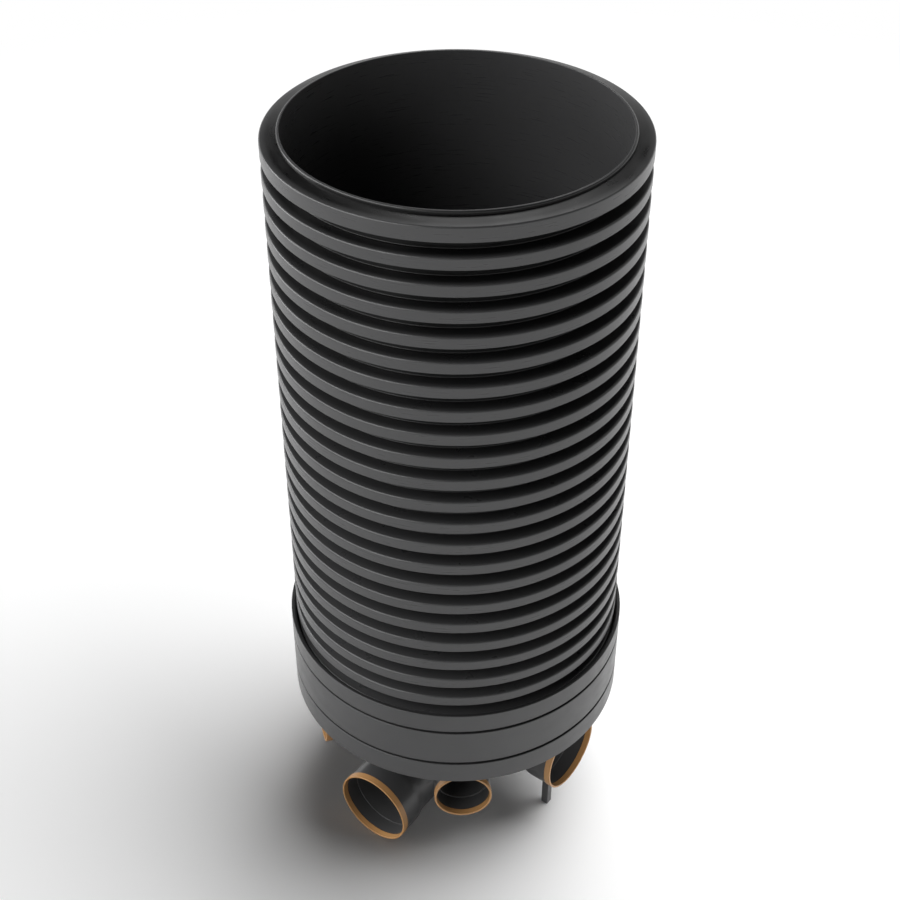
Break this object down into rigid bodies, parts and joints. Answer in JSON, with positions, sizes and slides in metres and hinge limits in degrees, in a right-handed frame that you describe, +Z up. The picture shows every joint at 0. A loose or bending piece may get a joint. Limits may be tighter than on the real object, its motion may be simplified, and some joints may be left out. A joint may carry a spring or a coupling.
{
  "type": "drain inspection chamber",
  "caption": "Drain inspection chamber: a corrugated riser set in the collar of a moulded base, which has a main channel, falling inlets and push-fit pipe sockets.",
  "frame": {"origin": "on the floor, on the axis of the riser", "axes": "+Z up along the riser, +Y along the main channel towards its inlet, the outlet faces -Y, +X to the right side inlet"},
  "size_m": [0.6933, 0.6934, 1.5731],
  "materials": {
    "riser_plastic": "smooth dark grey polypropylene",
    "base_plastic": "moulded dark grey polypropylene",
    "ring_plastic": "moulded orange plastic",
    "seal_rubber": "black rubber"
  },
  "bodies": {
    "root": {"riser_pipe": "riser_plastic", "riser_seal": "seal_rubber", "chamber_base": "base_plastic", "outlet_socket": "base_plastic", "outlet_seal": "seal_rubber", "outlet_ring": "ring_plastic", "inlet_socket": "base_plastic", "inlet_seal": "seal_rubber", "inlet_ring": "ring_plastic", "side_right_socket": "base_plastic", "side_right_seal": "seal_rubber", "side_right_ring": "ring_plastic", "side_left_socket": "base_plastic", "side_left_seal": "seal_rubber", "side_left_ring": "ring_plastic", "branch_left_socket": "base_plastic", "branch_left_seal": "seal_rubber", "branch_left_ring": "ring_plastic", "branch_right_socket": "base_plastic", "branch_right_seal": "seal_rubber", "branch_right_ring": "ring_plastic"}
  },
  "joints": []
}
